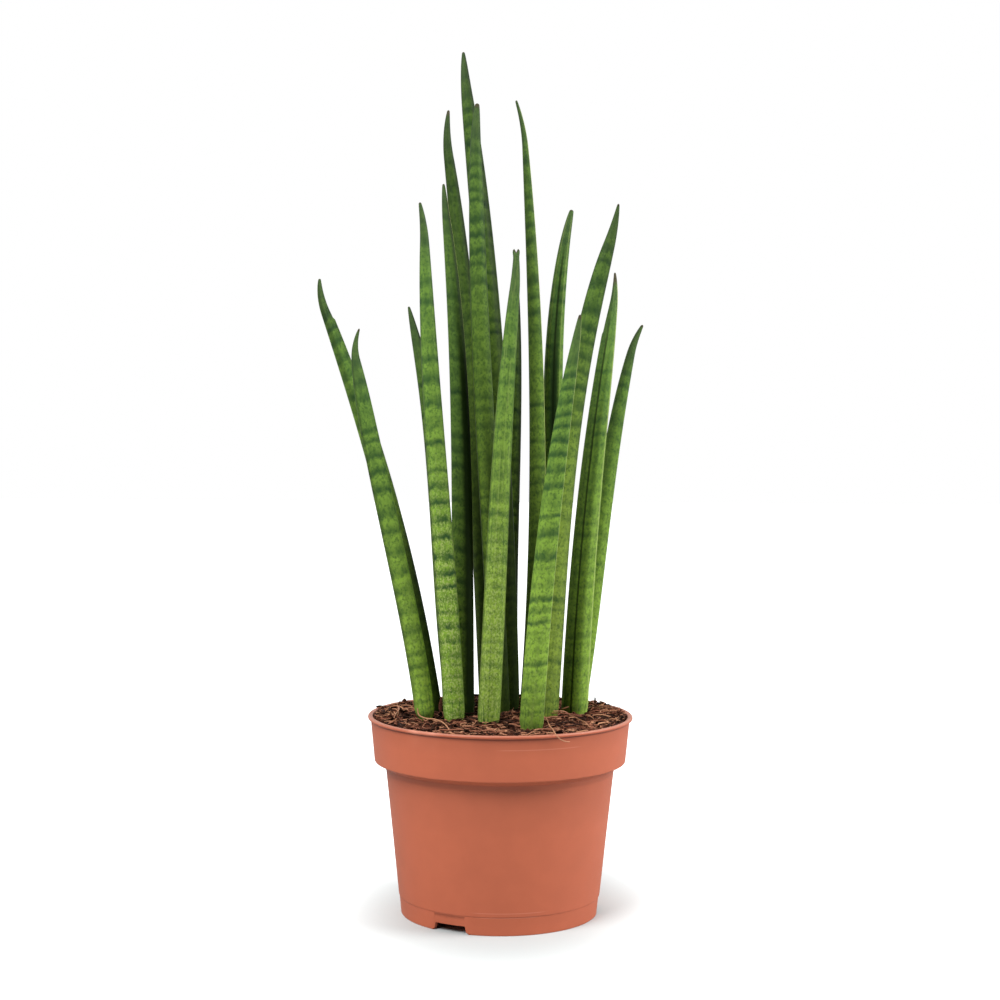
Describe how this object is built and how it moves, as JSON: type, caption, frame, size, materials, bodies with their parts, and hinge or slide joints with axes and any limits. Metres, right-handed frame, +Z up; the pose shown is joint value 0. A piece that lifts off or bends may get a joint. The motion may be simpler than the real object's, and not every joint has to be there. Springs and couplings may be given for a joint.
{
  "type": "potted mikado snake plant",
  "caption": "Upright cylindrical banded leaves growing from dark soil in a round terracotta-coloured plastic nursery pot, to stand on a floor, shelf or table.",
  "frame": {"origin": "under the middle of the whole plant's box, on the surface that the pot stands on; the pot's own axis is 13.4 mm to the +X side, because the leaves lean further to the left", "axes": "+Z up along the pot, -Y to the front, +X to the right as seen from the front"},
  "size_m": [0.2166, 0.17, 0.56],
  "materials": {
    "pot": "satin",
    "soil": "matte",
    "leaf": "satin"
  },
  "bodies": {
    "root": {"pot": "pot", "soil": "soil", "leaf_01": "leaf", "leaf_02": "leaf", "leaf_03": "leaf", "leaf_04": "leaf", "leaf_05": "leaf", "leaf_06": "leaf", "leaf_07": "leaf", "leaf_08": "leaf", "leaf_09": "leaf", "leaf_10": "leaf", "leaf_11": "leaf", "leaf_12": "leaf", "leaf_13": "leaf", "leaf_14": "leaf", "leaf_15": "leaf", "leaf_16": "leaf"}
  },
  "joints": []
}
